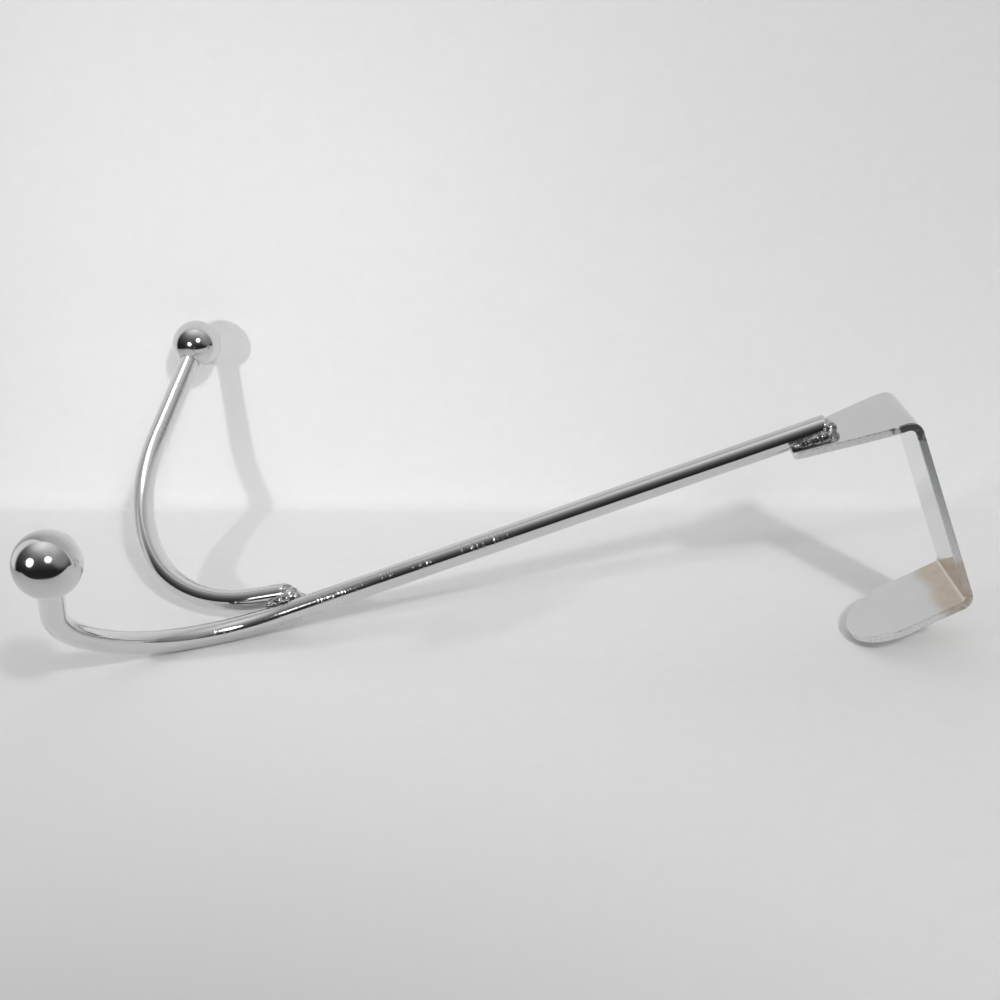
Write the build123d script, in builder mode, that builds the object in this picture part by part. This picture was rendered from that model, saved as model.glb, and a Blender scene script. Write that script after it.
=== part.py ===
from build123d import *
from math import cos, radians, sin, sqrt, tan
import os

# Over-door double hook: a folded strip, a bent wire rod, a welded second arm and two end balls.
# Millimetres, +Z up. The origin is the middle of the strip's underside, where it sits on the top
# edge of a door. The hooks face -Y, the back leg is on +Y, and X = 0 is the middle plane.

os.makedirs("parts", exist_ok=True)

# Folded strip
strip_width = 22.5
strip_thickness = 1.6
door_gap = 39.0
fold_radius = 1.2
edge_round = 0.25

# Front leg, measured down from the underside of the strip's top
shoulder_drop = 3.6
shoulder_corner = 6.0
front_leg = 23.5
narrow_width = 12.0
narrow_corner = 1.2

# Back leg, measured along the leg, and the angle it opens away from the door
back_leg = 24.0
back_flare = 7.0

# Wire of the rod and of both arms
wire_diameter = 4.8
rod_end_drop = 14.9
rod_end_round = 0.5
bend_drop = 134.5
arm_azimuth = 55.4
first_radius = 29.5
first_turn = 72.0
second_radius = 46.0
second_turn = 44.0
tip_length = 28.5

# Second arm: its square-cut end leans against the rod, just above the rod's bend
lean_angle = 12.0
lean_rise = 0.8
lean_length = 7.5
weld_root_gap = 0.1

# Balls on the tips
ball_diameter = 11.7
socket_depth = 5.0
socket_clearance = 0.1

# Welds: how far the rod sinks into the strip, and the radii and lengths of the tapered beads
weld_set = 1.2
crown_radius = 1.7
bead_radius = 1.3
bead_tip_radius = 0.5
groove_length = 4.0
cap_radius = 2.1
cap_tip_radius = 0.8
cap_length = 3.6

# Places worked out from the sizes
wire_radius = wire_diameter / 2
ball_radius = ball_diameter / 2
front_face = -(door_gap / 2 + strip_thickness)
rod_axis = front_face - wire_radius + weld_set
wire_end = tip_length - ball_radius + socket_depth


def arm_out(side):
    """Level direction in which an arm leaves the rod, to the right (1) or to the left (-1)."""
    return Vector(side * sin(radians(arm_azimuth)), -cos(radians(arm_azimuth)), 0)


def arm_plane(side):
    """Upright plane of one arm, from the rod's bend: local X points out along it, local Y up."""
    start = Vector(0, rod_axis, -bend_drop)
    return Plane(origin=start, x_dir=arm_out(side), z_dir=arm_out(side).cross(Vector(0, 0, 1)))


def draw_wire(start, lead, lean):
    """Centre line of one wire: a straight lead down, two arcs out and up, and a straight tip."""
    run = PolarLine(start, lead, lean - 90)
    first = JernArc(run @ 1, run % 1, first_radius, first_turn - lean)
    second = JernArc(first @ 1, first % 1, second_radius, second_turn)
    Line(second @ 1, second @ 1 + (second % 1) * wire_end)


def ball_plane(side, line):
    """Upright plane through the centre of the ball on a wire's tip, with its X along the tip."""
    along = line % 1
    centre = line @ 1 + along * (ball_radius - socket_depth)
    return Plane(origin=centre, x_dir=along, z_dir=arm_out(side).cross(Vector(0, 0, 1)))


def sharp_edges(part):
    """Edges where two faces meet at a corner instead of running smoothly into each other."""
    sharp = ShapeList()
    for edge in part.edges():
        middle = edge @ 0.5
        normals = [face.normal_at(middle) for face in part.faces() if edge in face.edges()]
        if len(normals) == 2 and normals[0].dot(normals[1]) < cos(radians(45)):
            sharp.append(edge)
    return sharp


def lay_bead(start, end, start_radius, end_radius):
    """Tapered weld bead with round ends."""
    run = end - start
    with Locations(Plane(origin=start, z_dir=run)):
        Cone(start_radius, end_radius, run.length, align=(Align.CENTER, Align.CENTER, Align.MIN))
    with Locations(start):
        Sphere(start_radius)
    with Locations(end):
        Sphere(end_radius)


# Door bracket: the folded middle of the strip, then the tapered front leg and the round-ended back leg
with BuildPart() as door_bracket:
    back_fold = fold_radius * tan(radians(90 - back_flare) / 2)
    with BuildSketch(Plane.YZ) as folds:
        with BuildLine():
            front = JernArc((-door_gap / 2, -fold_radius), (0, 1), fold_radius, -90)
            top = Line(front @ 1, (door_gap / 2 - back_fold, 0))
            back = JernArc(top @ 1, top % 1, fold_radius, back_flare - 90)
            offset(amount=strip_thickness, side=Side.LEFT)
        make_face()
    extrude(amount=strip_width / 2, both=True)

    with BuildSketch(Plane.XZ.offset(door_gap / 2)) as front_outline:
        with BuildLine():
            Polyline(
                (-strip_width / 2, -fold_radius),
                (-strip_width / 2, -shoulder_drop),
                (-narrow_width / 2, -front_leg),
                (narrow_width / 2, -front_leg),
                (strip_width / 2, -shoulder_drop),
                (strip_width / 2, -fold_radius),
                close=True,
            )
        make_face()
        fillet(front_outline.vertices().group_by(Axis.Y)[1], shoulder_corner)
        fillet(front_outline.vertices().group_by(Axis.Y)[0], narrow_corner)
    extrude(amount=strip_thickness)

    flare = radians(back_flare)
    leg_plane = Plane(origin=(0, door_gap / 2, 0), x_dir=(-1, 0, 0), z_dir=(0, cos(flare), sin(flare)))
    with BuildSketch(leg_plane) as back_outline:
        with BuildLine():
            straight = Polyline(
                (-strip_width / 2, -back_leg + strip_width / 2),
                (-strip_width / 2, -back_fold),
                (strip_width / 2, -back_fold),
                (strip_width / 2, -back_leg + strip_width / 2),
            )
            ThreePointArc(straight @ 0, (0, -back_leg), straight @ 1)
        make_face()
    extrude(amount=strip_thickness)
    fillet(sharp_edges(door_bracket), edge_round)
door_bracket.part.label = "door_bracket"
export_step(door_bracket.part, "parts/door_bracket.step")

# Main rod: one wire from the strip down to the right-hand arm, flattened where it is welded on
with BuildPart() as main_rod:
    with BuildLine(arm_plane(1)) as rod_line:
        draw_wire((0, bend_drop - rod_end_drop), bend_drop - rod_end_drop, 0)
    with BuildSketch(Plane(origin=rod_line.line @ 0, z_dir=rod_line.line % 0)):
        Circle(wire_radius)
    sweep()
    fillet(main_rod.edges().group_by(Axis.Z)[-1], rod_end_round)
    with Locations((0, front_face, -front_leg)):
        Box(
            wire_diameter,
            wire_diameter,
            front_leg,
            align=(Align.CENTER, Align.MIN, Align.MIN),
            mode=Mode.SUBTRACT,
        )
main_rod.part.label = "main_rod"
export_step(main_rod.part, "parts/main_rod.step")

# Welded arm: the left-hand arm, a shorter wire whose upper end leans against the rod
with BuildPart() as welded_arm:
    arm_start = wire_radius + weld_root_gap + wire_radius * cos(radians(lean_angle))
    with BuildLine(arm_plane(-1)) as arm_line:
        draw_wire((arm_start, lean_rise), lean_length, lean_angle)
    with BuildSketch(Plane(origin=arm_line.line @ 0, z_dir=arm_line.line % 0)):
        Circle(wire_radius)
    sweep()
welded_arm.part.label = "welded_arm"
export_step(welded_arm.part, "parts/welded_arm.step")

# Balls: each is drilled with a blind socket that takes the tip of its wire
for name, side, wire_line in (("right_ball", 1, rod_line.line), ("left_ball", -1, arm_line.line)):
    with BuildPart() as ball:
        tip = ball_plane(side, wire_line)
        socket_radius = wire_radius + socket_clearance / 2
        with BuildSketch(tip):
            with BuildLine():
                socket = Polyline(
                    (ball_radius, 0),
                    (socket_depth - ball_radius, 0),
                    (socket_depth - ball_radius, socket_radius),
                    (-sqrt(ball_radius**2 - socket_radius**2), socket_radius),
                )
                ThreePointArc(socket @ 1, (0, ball_radius), socket @ 0)
            make_face()
        revolve(axis=Axis(tip.origin, tip.x_dir))
    ball.part.label = name
    export_step(ball.part, f"parts/{name}.step")

# Bracket weld: a crown across the rod's upper end and a bead tapering down each side of the rod
with BuildPart() as bracket_weld:
    flat_edge = sqrt(wire_radius**2 - (wire_radius - weld_set) ** 2)
    crown_out = Vector(wire_radius - crown_radius / 2, 0, 0)
    crown_middle = Vector(0, front_face - crown_radius / 2, -rod_end_drop)
    lay_bead(crown_middle + crown_out, crown_middle - crown_out, crown_radius, bead_radius)
    for bead_out in (flat_edge + bead_tip_radius, -flat_edge - bead_tip_radius):
        bead_high = Vector(bead_out, front_face, -rod_end_drop)
        bead_low = Vector(bead_out, front_face, bead_radius - front_leg)
        lay_bead(bead_high, bead_low, bead_radius, bead_tip_radius)
    add(main_rod.part, mode=Mode.SUBTRACT)
    add(door_bracket.part, mode=Mode.SUBTRACT)
bracket_weld.part.label = "bracket_weld"
export_step(bracket_weld.part, "parts/bracket_weld.step")

# Arm weld: a cap that runs up from the arm's cut end onto the rod, and a bead down each groove
with BuildPart() as arm_weld:
    plane = arm_plane(-1)
    cap_low = plane.from_local_coords(Vector(arm_start, lean_rise, 0))
    cap_high = plane.from_local_coords(Vector(wire_radius, lean_rise + cap_length, 0))
    lay_bead(cap_low, cap_high, cap_radius, cap_tip_radius)
    for groove_out in (wire_radius - bead_tip_radius, bead_tip_radius - wire_radius):
        groove_high = plane.from_local_coords(Vector(wire_radius, lean_rise, groove_out))
        groove_low = plane.from_local_coords(Vector(wire_radius, lean_rise - groove_length, groove_out))
        lay_bead(groove_high, groove_low, bead_radius, bead_tip_radius)
    add(main_rod.part, mode=Mode.SUBTRACT)
    add(welded_arm.part, mode=Mode.SUBTRACT)
arm_weld.part.label = "arm_weld"
export_step(arm_weld.part, "parts/arm_weld.step")
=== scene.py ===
import bpy
from math import cos, pi, radians, sin
from mathutils import Matrix, Vector, noise


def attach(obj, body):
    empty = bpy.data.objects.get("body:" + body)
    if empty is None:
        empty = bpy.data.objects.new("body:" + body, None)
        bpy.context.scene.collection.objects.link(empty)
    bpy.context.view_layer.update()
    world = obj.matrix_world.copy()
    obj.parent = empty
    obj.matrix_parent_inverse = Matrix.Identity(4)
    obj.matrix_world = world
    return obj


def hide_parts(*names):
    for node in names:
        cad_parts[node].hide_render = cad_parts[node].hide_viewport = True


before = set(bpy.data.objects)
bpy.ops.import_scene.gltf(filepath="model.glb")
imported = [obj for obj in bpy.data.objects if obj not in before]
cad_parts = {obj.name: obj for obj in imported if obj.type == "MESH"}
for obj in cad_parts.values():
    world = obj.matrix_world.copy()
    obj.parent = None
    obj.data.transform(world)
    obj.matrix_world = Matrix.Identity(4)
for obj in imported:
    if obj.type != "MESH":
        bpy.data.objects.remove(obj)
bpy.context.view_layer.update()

MM = 0.001
scene = bpy.context.scene
scene.view_settings.view_transform = "Standard"

# Sizes of the part, in millimetres, and its angles
door_gap = 39.0
strip_thickness = 1.6
front_leg = 23.5
back_flare = radians(7.0)
wire_radius = 2.4
rod_end_drop = 14.9
rod_end_round = 0.5
arm_end_round = 0.2
bend_drop = 134.5
arm_azimuth = radians(55.4)
first_radius = 29.5
first_turn = radians(72.0)
second_radius = 46.0
second_turn = radians(44.0)
tip_length = 28.5
ball_radius = 5.85
socket_depth = 5.0
lean_angle = radians(12.0)
lean_rise = 0.8
lean_length = 7.5
weld_root_gap = 0.1
weld_set = 1.2

# Places worked out from the sizes, in millimetres
front_face = -(door_gap / 2 + strip_thickness)
rod_axis = front_face - wire_radius + weld_set
wire_end = tip_length - ball_radius + socket_depth
arm_start = wire_radius + weld_root_gap + wire_radius * cos(lean_angle)
down_back_leg = (0, sin(back_flare), -cos(back_flare))

# Stage directions in the part's frame: the hook lies on its back, so its front faces up
floor_lean = radians(20.5)
up = Vector((0, -cos(floor_lean), sin(floor_lean)))
right = Vector((0, sin(floor_lean), cos(floor_lean)))
front = Vector((1, 0, 0))


def stage_point(r, f, u):
    """Point of the stage, in metres: to the right, to the front and up."""
    return right * r + front * f + up * u


def link(name, data):
    """New object in the scene."""
    obj = bpy.data.objects.new(name, data)
    scene.collection.objects.link(obj)
    return obj


# Camera, as fitted to the photograph
camera_place = Vector((301.21, -130.93, -43.12)) * MM
camera_ahead = Vector((-0.9452, 0.3051, -0.1166)).normalized()
level = Vector((-0.0025, 0.3502, 0.9367))
camera_up = level.cross(camera_ahead).normalized()
camera_right = camera_ahead.cross(camera_up)
camera_data = bpy.data.cameras.new("camera")
camera_data.sensor_width = 36
camera_data.lens = 55.67
camera_data.shift_x = -0.00606
camera_data.shift_y = -0.01826
camera_data.clip_start = 0.01
camera_data.clip_end = 20
camera = link("camera", camera_data)
camera_axes = Matrix((camera_right, camera_up, -camera_ahead)).transposed()
camera.matrix_world = Matrix.Translation(camera_place) @ camera_axes.to_4x4()
scene.camera = camera


class Shader:
    """Node tree of a material or of the world, with short ways to add the nodes used here."""

    def __init__(self, owner):
        self.owner = owner
        owner.use_nodes = True
        owner.node_tree.nodes.clear()

    def add(self, kind, inputs, **settings):
        """New node, with its inputs linked or set."""
        node = self.owner.node_tree.nodes.new("ShaderNode" + kind)
        for key, value in settings.items():
            setattr(node, key, value)
        for key, value in inputs.items():
            self.feed(node.inputs[key], value)
        return node

    def feed(self, socket, value):
        """Link another node's output to a socket, or set the socket to a plain value."""
        if isinstance(value, bpy.types.NodeSocket):
            self.owner.node_tree.links.new(value, socket)
        else:
            socket.default_value = value

    def place(self):
        """Position in the part's frame, in metres."""
        return self.add("TexCoord", {}).outputs["Object"]

    def wire_place(self):
        """Position along and around the straightened wire, in metres."""
        return self.add("Attribute", {}, attribute_name="wire").outputs["Vector"]

    def stretch(self, vector, scale):
        """Position with a scale of its own along each axis."""
        return self.add("Mapping", {"Vector": vector, "Scale": scale}).outputs["Vector"]

    def noise(self, vector, scale, detail=2.0):
        """Cloudy noise between 0 and 1."""
        inputs = {"Vector": vector, "Scale": scale, "Detail": detail}
        return self.add("TexNoise", inputs).outputs["Fac"]

    def remap(self, value, low, high, to_low, to_high):
        """Smooth step from one range of numbers to another."""
        inputs = {"Value": value, "From Min": low, "From Max": high, "To Min": to_low, "To Max": to_high}
        return self.add("MapRange", inputs, interpolation_type="SMOOTHSTEP").outputs["Result"]

    def math(self, operation, first, second):
        """Sum, product or other operation on two numbers."""
        return self.add("Math", {0: first, 1: second}, operation=operation).outputs["Value"]

    def dot(self, vector, axis):
        """How far a position lies along an axis."""
        return self.add("VectorMath", {0: vector, 1: axis}, operation="DOT_PRODUCT").outputs["Value"]

    def distance(self, vector, point):
        """How far a position lies from a point."""
        return self.add("VectorMath", {0: vector, 1: point}, operation="DISTANCE").outputs["Value"]

    def blend(self, factor, first, second):
        """Mix of two colours, each a node's output or a plain red, green and blue."""
        mix = self.add("Mix", {"Factor": factor}, data_type="RGBA")
        for socket, colour in ((6, first), (7, second)):
            self.feed(mix.inputs[socket], (*colour, 1) if isinstance(colour, tuple) else colour)
        return mix.outputs[2]

    def mix(self, factor, first, second):
        """Mix of two numbers."""
        inputs = {"Factor": factor, "A": first, "B": second}
        return self.add("Mix", inputs, data_type="FLOAT").outputs["Result"]

    def bump(self, height, distance, normal=None):
        """Surface raised by a height between 0 and 1 times a distance, on top of another bump or alone."""
        inputs = {"Height": height, "Distance": distance, "Strength": 1.0}
        if normal is not None:
            inputs["Normal"] = normal
        return self.add("Bump", inputs).outputs["Normal"]

    def finish(self, **inputs):
        """Finished material with one principled shader."""
        names = {"colour": "Base Color", "rough": "Roughness", "metal": "Metallic", "normal": "Normal"}
        shader = self.add("BsdfPrincipled", {names[key]: value for key, value in inputs.items()})
        self.add("OutputMaterial", {"Surface": shader.outputs[0]})
        return self.owner


# Bright plating on drawn wire: faint haze and drawing waves, with ripples and nicks across its worked part
def wire_plating():
    s = Shader(bpy.data.materials.new("wire_plating"))
    wire = s.wire_place()
    haze = s.noise(s.stretch(wire, (60, 400, 400)), 1.0, 4.0)
    colour = s.blend(haze, (0.62, 0.62, 0.63), (0.73, 0.73, 0.74))
    waves = s.noise(s.stretch(wire, (90, 300, 300)), 1.0)
    along = s.dot(wire, (1, 0, 0))
    worked = s.remap(along, 45 * MM, 85 * MM, 0.0, 1.0)
    lower_half = s.math("MULTIPLY", worked, s.remap(along, 130 * MM, 160 * MM, 1.0, 0.0))
    patches = s.remap(s.noise(s.stretch(wire, (170, 200, 200)), 1.0), 0.40, 0.58, 0.0, 1.0)
    chatter = s.remap(s.noise(s.stretch(wire, (2400, 330, 330)), 1.0), 0.52, 0.70, 0.0, 1.0)
    nicks = s.math("MULTIPLY", s.math("MULTIPLY", lower_half, patches), chatter)
    ripples = s.math("MULTIPLY", worked, s.noise(s.stretch(wire, (2200, 60, 60)), 1.0))
    rough = s.math("ADD", s.remap(haze, 0.35, 0.75, 0.07, 0.13), s.math("MULTIPLY", nicks, 0.22))
    normal = s.bump(waves, 0.03 * MM)
    normal = s.bump(ripples, 0.02 * MM, normal)
    normal = s.bump(nicks, 0.02 * MM, normal)
    return s.finish(colour=colour, rough=rough, metal=1.0, normal=normal)


# Bright plating on the balls: faint haze and shallow flats from handling
def ball_plating():
    s = Shader(bpy.data.materials.new("ball_plating"))
    place = s.place()
    haze = s.noise(place, 350.0, 4.0)
    colour = s.blend(haze, (0.62, 0.62, 0.63), (0.72, 0.72, 0.73))
    rough = s.remap(haze, 0.35, 0.75, 0.09, 0.14)
    flats = s.noise(place, 260.0, 1.0)
    normal = s.bump(flats, 0.02 * MM)
    return s.finish(colour=colour, rough=rough, metal=1.0, normal=normal)


def from_rear_fold(s, place):
    """Position relative to the inside of the rear fold."""
    corner = (0, door_gap / 2 * MM, 0)
    return s.add("VectorMath", {0: place, 1: corner}, operation="SUBTRACT").outputs[0]


def tarnish(s, place):
    """Brown film at the rear fold: 1 where it is thickest and 0 outside."""
    fold = from_rear_fold(s, place)
    ragged = s.remap(s.noise(place, 90.0, 1.0), 0.3, 0.7, -0.4 * MM, 0.4 * MM)
    down_leg = s.math("ADD", s.dot(fold, down_back_leg), ragged)
    along_top = s.math("ADD", s.dot(fold, (-0.38, -1, 0)), ragged)
    on_leg = s.remap(down_leg, 3.6 * MM, 7.0 * MM, 1.0, 0.0)
    on_top = s.remap(along_top, 3.6 * MM, 6.0 * MM, 1.0, 0.0)
    return s.math("MULTIPLY", on_leg, on_top)


def crease_highlight(s, place):
    """Painted highlight along the crease of the rear fold: 1 on it and 0 outside."""
    fold = from_rear_fold(s, place)
    away = s.math("MAXIMUM", s.dot(fold, down_back_leg), s.dot(fold, (0, -1, 0)))
    return s.remap(away, 0.4 * MM, 0.7 * MM, 1.0, 0.0)


# Bright plating on the strip's faces, with a brown film of tarnish at the rear fold and a painted highlight
# along its crease
def strip_plating():
    s = Shader(bpy.data.materials.new("strip_plating"))
    place = s.place()
    film = tarnish(s, place)
    haze = s.noise(place, 160.0, 5.0)
    mottle = s.noise(place, 420.0, 4.0)
    clean = s.blend(haze, (0.65, 0.65, 0.66), (0.71, 0.71, 0.71))
    brown = s.blend(mottle, (0.46, 0.39, 0.31), (0.65, 0.58, 0.50))
    # Painted highlight: a lighter, warm colour along the crease of the rear fold
    painted_crease_highlight = s.math("MULTIPLY", crease_highlight(s, place), 0.6)
    colour = s.blend(painted_crease_highlight, s.blend(film, clean, brown), (0.78, 0.75, 0.70))
    rough = s.math("ADD", s.remap(haze, 0.35, 0.75, 0.06, 0.11), s.math("MULTIPLY", film, 0.16))
    waves = s.noise(place, 120.0)
    normal = s.bump(waves, 0.03 * MM)
    return s.finish(colour=colour, rough=rough, metal=1.0, normal=normal)


# Plating over the strip's sheared edges: duller, darker grey on the top's edge towards the front, darkened at
# the front fold, rusting a little at the rear
def edge_plating():
    s = Shader(bpy.data.materials.new("edge_plating"))
    place = s.place()
    side_on = s.stretch(place, (0, 1, 1))
    torn = s.noise(s.stretch(place, (700, 1800, 1800)), 1.0, 3.0)
    film = tarnish(s, place)
    rear_corner = (0, (door_gap / 2 + strip_thickness / 2) * MM, 0)
    corner = s.remap(s.distance(side_on, rear_corner), 0.8 * MM, 3.4 * MM, 0.9, 0.25)
    specks = s.remap(s.noise(place, 700.0), 0.42, 0.66, 0.0, 1.0)
    rust = s.math("MULTIPLY", s.math("MULTIPLY", film, corner), specks)
    # The edges' colour turns nearly black near the front fold
    front_corner = (0, front_face * MM, 0)
    chipped = s.remap(s.noise(place, 800.0, 3.0), 0.35, 0.65, -1.2 * MM, 1.2 * MM)
    to_front = s.math("ADD", s.distance(side_on, front_corner), chipped)
    dark_near_front_fold = s.remap(to_front, 2.4 * MM, 4.4 * MM, 1.0, 0.0)
    # The edges' colour turns darker grey on the top segment, most towards the front
    on_top = s.remap(s.dot(place, (0, 0, 1)), -3 * MM, -1 * MM, 0.0, 0.7)
    forward = s.remap(s.dot(place, (0, 1, 0)), -18 * MM, 16 * MM, 1.0, 0.2)
    darker_top_front = s.math("MULTIPLY", on_top, forward)
    clean = s.blend(s.remap(torn, 0.35, 0.65, 0.0, 1.0), (0.70, 0.70, 0.71), (0.82, 0.82, 0.83))
    grey = s.blend(darker_top_front, clean, (0.38, 0.40, 0.42))
    dark = s.blend(dark_near_front_fold, grey, (0.16, 0.16, 0.17))
    brown = s.blend(film, dark, (0.56, 0.51, 0.46))
    colour = s.blend(rust, brown, (0.34, 0.24, 0.18))
    rough = s.remap(torn, 0.35, 0.7, 0.30, 0.44)
    metal = s.remap(rust, 0.0, 1.0, 1.0, 0.4)
    normal = s.bump(torn, 0.018 * MM)
    return s.finish(colour=colour, rough=rough, metal=metal, normal=normal)


# Plating over weld metal: uneven in colour and gloss, and pitted
def weld_plating():
    s = Shader(bpy.data.materials.new("weld_plating"))
    place = s.place()
    scale = s.noise(place, 900.0, 4.0)
    colour = s.blend(s.remap(scale, 0.35, 0.65, 0.0, 1.0), (0.26, 0.25, 0.25), (0.66, 0.65, 0.65))
    rough = s.remap(scale, 0.35, 0.7, 0.08, 0.20)
    normal = s.bump(s.noise(place, 1500.0), 0.08 * MM)
    return s.finish(colour=colour, rough=rough, metal=1.0, normal=normal)


def place_piece(name, mesh, node):
    """New piece that stands for a CAD node, attached to the root body, with the node hidden."""
    piece = link(name, mesh)
    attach(piece, "root")
    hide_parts(node)
    return piece


# Wires: a round section swept along the same line as in the CAD model, a hair thinner, in millimetres
skin = 0.01
straight_step = 0.8
curved_step = 0.4
points_around = 48
end_rings = 5


def wire_line(start, lead, lean):
    """Centre line in an arm's plane, as points and headings: down, two arcs out and up, straight tip."""
    x, y = start
    heading = lean - pi / 2
    line = [(x, y, heading)]
    runs = (
        (lead, 0.0, straight_step),
        (first_radius * (first_turn - lean), 1 / first_radius, curved_step),
        (second_radius * second_turn, 1 / second_radius, curved_step),
        (wire_end, 0.0, straight_step),
    )
    for length, bend, step in runs:
        count = round(length / step)
        for _ in range(count):
            turn = bend * length / count
            middle = heading + turn / 2
            chord = length / count if bend == 0 else 2 / bend * sin(turn / 2)
            x, y = x + chord * cos(middle), y + chord * sin(middle)
            heading += turn
            line.append((x, y, heading))
    return line


def round_end(start, end_round):
    """Rings of a wire's rounded upper end, each a point, a heading and a radius."""
    x, y, heading = start
    rings = []
    for step in range(end_rings):
        angle = pi / 2 * (1 - step / (end_rings - 1))
        shift = end_round * (1 - sin(angle))
        inset = end_round * (1 - cos(angle))
        rings.append((x + shift * cos(heading), y + shift * sin(heading), heading, wire_radius - inset))
    return rings


def sweep_wire(name, side, line, end_round):
    """Mesh of a wire with a rounded upper end; its wire attribute holds the straightened position."""
    out = Vector((side * sin(arm_azimuth), -cos(arm_azimuth), 0))
    rise = Vector((0, 0, 1))
    across = out.cross(rise)
    base = Vector((0, rod_axis, -bend_drop))
    rings = round_end(line[0], end_round)
    rings += [(x, y, heading, wire_radius) for x, y, heading in line[1:]]
    verts, places, faces = [], [], []
    along = 0.0
    last = base + out * line[0][0] + rise * line[0][1]
    for x, y, heading, radius in rings:
        centre = base + out * x + rise * y
        along += (centre - last).length
        last = centre
        side_way = rise * cos(heading) - out * sin(heading)
        for i in range(points_around):
            angle = 2 * pi * i / points_around
            section = across * cos(angle) + side_way * sin(angle)
            point = centre + section * (radius - skin)
            if point.z > -front_leg:
                point.y = min(point.y, front_face)
            verts.append(point * MM)
            places.append((along * MM, cos(angle) * radius * MM, sin(angle) * radius * MM))
    for k in range(len(rings) - 1):
        a, b = k * points_around, (k + 1) * points_around
        for i in range(points_around):
            j = (i + 1) % points_around
            faces.append((a + i, a + j, b + j, b + i))
    for k, order in ((0, -1), (len(rings) - 1, 1)):
        ring = [k * points_around + i for i in range(points_around)]
        faces.append(tuple(ring[::order]))
    mesh = bpy.data.meshes.new(name)
    mesh.from_pydata(verts, [], faces)
    attribute = mesh.attributes.new("wire", "FLOAT_VECTOR", "POINT")
    attribute.data.foreach_set("vector", [c for place in places for c in place])
    mesh.shade_smooth()
    mesh.update()
    return mesh


wire_material = wire_plating()
rod_lead = bend_drop - rod_end_drop
rod_mesh = sweep_wire("rod_wire", 1, wire_line((0, rod_lead), rod_lead, 0), rod_end_round)
rod_mesh.materials.append(wire_material)
place_piece("rod_wire", rod_mesh, "main_rod")
arm_line = wire_line((arm_start, lean_rise), lean_length, lean_angle)
arm_mesh = sweep_wire("arm_wire", -1, arm_line, arm_end_round)
arm_mesh.materials.append(wire_material)
arm_piece = place_piece("arm_wire", arm_mesh, "welded_arm")

# Balls keep their CAD shape
ball_material = ball_plating()
for node in ("right_ball", "left_ball"):
    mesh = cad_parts[node].data
    mesh.materials.clear()
    mesh.materials.append(ball_material)

# Strip: the CAD shape, with its sheared edges told apart from its plated faces by the way they face
side_tilt = 0.2
leg_end_tilt = -0.6
leg_end_height = -20 * MM
strip_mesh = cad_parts["door_bracket"].data.copy()
strip_mesh.materials.clear()
strip_mesh.materials.append(strip_plating())
strip_mesh.materials.append(edge_plating())
for face in strip_mesh.polygons:
    leg_end = face.center.z < leg_end_height and face.normal.z < leg_end_tilt
    face.material_index = 1 if abs(face.normal.x) > side_tilt or leg_end else 0
place_piece("strip", strip_mesh, "door_bracket")

# Welds: the CAD beads, remeshed finely and raised and sunk into lumps of a height in mm and a count per mm
weld_voxel = 0.13 * MM
weld_smoothing = 8
weld_lumps = ((0.17, 0.7), (0.11, 2.2))


def lumpy_mesh(name, node, seed):
    """Mesh of a weld node with uneven lumps, which differ from one seed to another."""
    rough = link(name + "_rough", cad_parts[node].data.copy())
    remesh = rough.modifiers.new("remesh", "REMESH")
    remesh.mode = "VOXEL"
    remesh.voxel_size = weld_voxel
    smooth = rough.modifiers.new("smooth", "SMOOTH")
    smooth.iterations = weld_smoothing
    evaluated = rough.evaluated_get(bpy.context.evaluated_depsgraph_get())
    mesh = bpy.data.meshes.new_from_object(evaluated)
    mesh.name = name
    bpy.data.objects.remove(rough)
    shift = Vector((seed, seed, seed))
    moved = []
    for vert in mesh.vertices:
        p = vert.co / MM
        lump = sum(height * noise.noise(p * count + shift) for height, count in weld_lumps)
        moved.append(vert.co + vert.normal * lump * MM)
    mesh.vertices.foreach_set("co", [c for point in moved for c in point])
    mesh.shade_smooth()
    mesh.update()
    return mesh


weld_material = weld_plating()
for name, node, seed in (("strip_weld", "bracket_weld", 3.0), ("arm_joint_weld", "arm_weld", 8.0)):
    mesh = lumpy_mesh(name, node, seed)
    mesh.materials.clear()
    mesh.materials.append(weld_material)
    place_piece(name, mesh, node)


# Stage: a sheet of white card that turns up from the floor into the wall, seen from its front only, with
# painted shade towards the front left of the floor
def card_material():
    s = Shader(bpy.data.materials.new("white_card"))
    place = s.place()
    grain = s.noise(place, 300.0, 5.0)
    clean = s.blend(grain, (0.88, 0.88, 0.88), (0.92, 0.92, 0.92))
    # Painted shade: the card's colour darkens towards the front left of the floor
    painted_shade = s.remap(s.dot(place, front - right), 0.10, 0.30, 0.0, 1.0)
    colour = s.blend(painted_shade, clean, (0.68, 0.68, 0.68))
    card = s.add("BsdfDiffuse", {"Color": colour}).outputs[0]
    clear = s.add("BsdfTransparent", {}).outputs[0]
    behind = s.add("NewGeometry", {}).outputs["Backfacing"]
    mix = s.add("MixShader", {0: behind, 1: card, 2: clear})
    s.add("OutputMaterial", {"Surface": mix.outputs[0]})
    return s.owner


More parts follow.
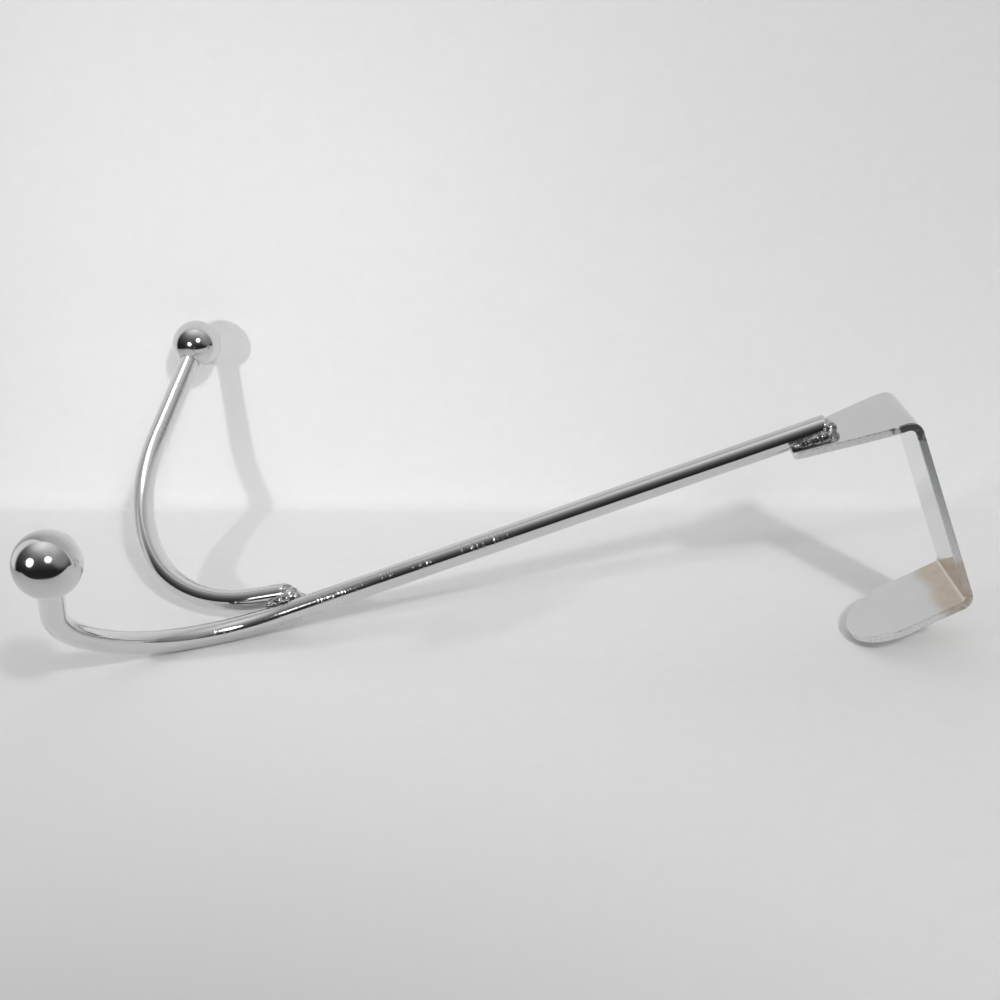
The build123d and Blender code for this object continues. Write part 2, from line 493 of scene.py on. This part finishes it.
low = min(up.dot(v.co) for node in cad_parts.values() for v in node.data.vertices)
wall = -82 * MM
floor_front = 150 * MM
card_left = -0.35
card_right = 0.45
wall_height = 1.0
cove = 5 * MM
cove_steps = 12
profile = [(floor_front, 0.0)]
for step in range(cove_steps + 1):
    angle = pi / 2 * step / cove_steps
    profile.append((wall + cove * (1 - sin(angle)), cove * (1 - cos(angle))))
profile.append((wall, wall_height))
verts, faces = [], []
for f, u in profile:
    verts += [stage_point(card_left, f, low + u), stage_point(card_right, f, low + u)]
for k in range(len(profile) - 1):
    faces.append((2 * k, 2 * k + 1, 2 * k + 3, 2 * k + 2))
card_mesh = bpy.data.meshes.new("card")
card_mesh.from_pydata(verts, [], faces)
card_mesh.shade_smooth()
card_mesh.materials.append(card_material())
link("card", card_mesh)


def lamp(name, place, target, size, power, spread=pi):
    """Round area lamp that faces its target."""
    data = bpy.data.lights.new(name, "AREA")
    data.shape = "DISK"
    data.size = size
    data.energy = power
    data.spread = spread
    obj = link(name, data)
    obj.location = place
    obj.rotation_mode = "QUATERNION"
    obj.rotation_quaternion = (target - place).to_track_quat("-Z", "Y")
    return obj


# Lamps: two on the camera's side, each a small bright disc with a wide dim one around it
near_place = stage_point(-0.275, 0.19, low + 0.112)
near_target = stage_point(-0.12, wall, low + 0.08)
lamp("near_lamp", near_place, near_target, 0.01, 0.058, radians(90))
lamp("near_glow", near_place, near_target, 0.08, 0.05)
far_target = stage_point(-0.163, 0, low + 0.03)
far_turn = radians(22)
far_rise = radians(34.5)
far_reach = 1.2
far_way = stage_point(sin(far_turn) * cos(far_rise), cos(far_turn) * cos(far_rise), sin(far_rise))
far_place = far_target + far_way * far_reach
lamp("far_lamp", far_place, far_target, 0.06, 3.2)
lamp("far_glow", far_place, far_target, 0.36, 2.2)

# Accent lamp: a tall soft one that only the left arm's wire mirrors, as a bright line along its tip
left_tip = Vector((-58.0, -62.3, -155.7)) * MM
accent = lamp("left_tip_lamp", stage_point(-0.235, -0.015, low + 0.325), left_tip, 0.06, 0.08)
accent.data.shape = "ELLIPSE"
accent.data.size_y = 0.20
lit_by_accent = bpy.data.collections.new("left_tip_lamp")
lit_by_accent.objects.link(arm_piece)
accent.light_linking.receiver_collection = lit_by_accent


# World: a dim room is seen and mirrored, pale behind and below the stage, and soft light falls from above
def room_light():
    s = Shader(bpy.data.worlds.new("world"))
    way = s.add("TexCoord", {}).outputs["Generated"]
    height = s.dot(way, up)
    ceiling = s.add("ValToRGB", {"Fac": height})
    levels = ((0.0, 0.02), (0.25, 0.045), (0.45, 0.08), (0.64, 0.17), (0.80, 0.36), (0.92, 0.66), (1.0, 0.95))
    stops = ceiling.color_ramp.elements
    for _ in levels[2:]:
        stops.new(0.5)
    for stop, (position, level) in zip(stops, levels):
        stop.position = position
        stop.color = (level, level, level, 1)
    room = ceiling.outputs["Color"]
    upper_left = stage_point(-0.304, 0.04, 0.951)
    window = stage_point(0.797, 0.290, 0.530)
    for toward, wide, middle, level in ((upper_left, 0.90, 0.98, 0.12), (window, 0.75, 0.96, 0.22)):
        room = s.math("ADD", room, s.remap(s.dot(way, toward), wide, middle, 0.0, level))
    behind = s.remap(s.dot(way, front), -0.25, -0.05, 1.0, 0.0)
    below = s.remap(height, -0.55, -0.40, 1.0, 0.0)
    room = s.mix(s.math("MAXIMUM", behind, below), room, 0.85)
    overhead = s.add("MapRange", {"Value": height, "To Min": 0.06, "To Max": 0.48}).outputs["Result"]
    paths = s.add("LightPath", {}).outputs
    seen = s.math("ADD", paths["Is Camera Ray"], paths["Is Glossy Ray"])
    seen = s.math("ADD", seen, paths["Is Transmission Ray"])
    background = s.add("Background", {"Color": s.mix(seen, overhead, room)})
    s.add("OutputWorld", {"Surface": background.outputs[0]})
    return s.owner


scene.world = room_light()
